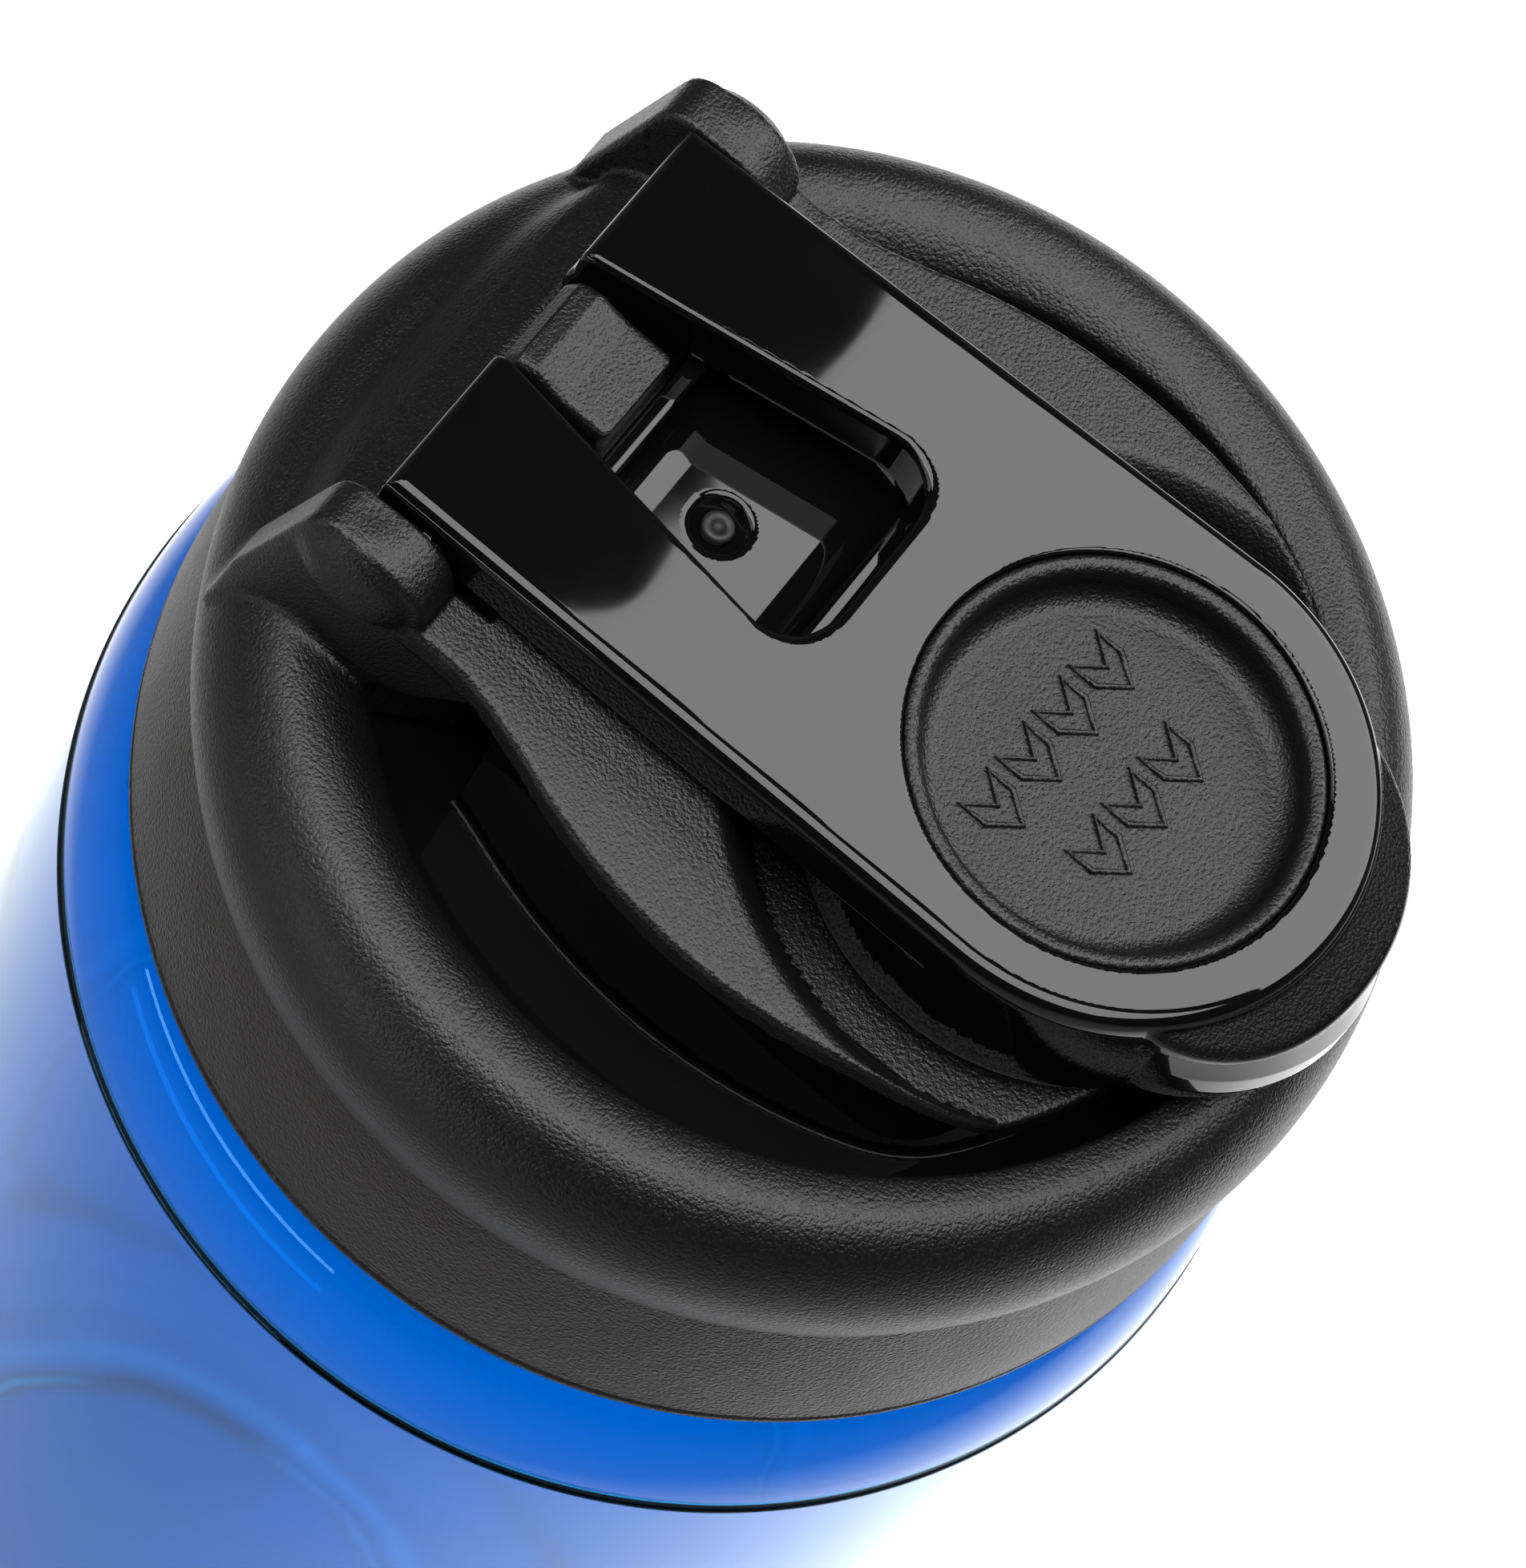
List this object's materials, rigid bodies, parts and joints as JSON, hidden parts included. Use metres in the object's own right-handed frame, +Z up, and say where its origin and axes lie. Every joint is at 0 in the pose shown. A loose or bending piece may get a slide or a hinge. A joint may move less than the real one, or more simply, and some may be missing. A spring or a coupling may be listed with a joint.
{
  "type": "sports water bottle",
  "caption": "Translucent drinking bottle with a screw-on lid and a hinged lever that presses down over the spout and flips up to drink.",
  "frame": {"origin": "centre of the bottle's base, on the bottle's axis, at the level it stands on", "axes": "+Z up along the bottle's axis, +X from the arm's hinge towards its thumb lip, +Y along the hinge"},
  "size_m": [0.073, 0.073, 0.2382],
  "materials": {
    "tinted_plastic": "clear blue, smooth",
    "textured_plastic": "black with a fine moulded grain",
    "polished_plastic": "polished black",
    "silicone": "soft matte grey"
  },
  "bodies": {
    "bottle": {"bottle_body": "tinted_plastic"},
    "gasket": {"lid_gasket": "silicone"},
    "lid": {"lid_shell": "textured_plastic", "lid_insert": "polished_plastic", "vent_valve": "silicone"},
    "arm": {"flip_arm": "polished_plastic", "press_disc": "textured_plastic", "spout_plug": "silicone"}
  },
  "joints": [
    {"name": "lid_lift", "type": "slide", "parent": "bottle", "child": "gasket", "axis": [0, 0, 1], "range_m": [0, 0.016]},
    {"name": "lid_turn", "type": "hinge", "parent": "gasket", "child": "lid", "pos_m": [0, 0, 0.2], "axis": [0, 0, 1], "range_deg": [0, 720]},
    {"name": "arm_hinge", "type": "hinge", "parent": "lid", "child": "arm", "pos_m": [-0.0213, 0, 0.2332], "axis": [0, -1, 0], "range_deg": [0, 120]}
  ],
  "couplings": [
    {"joint": "lid_lift", "follows": "lid_turn", "m_per_rad": 0.0012732}
  ]
}
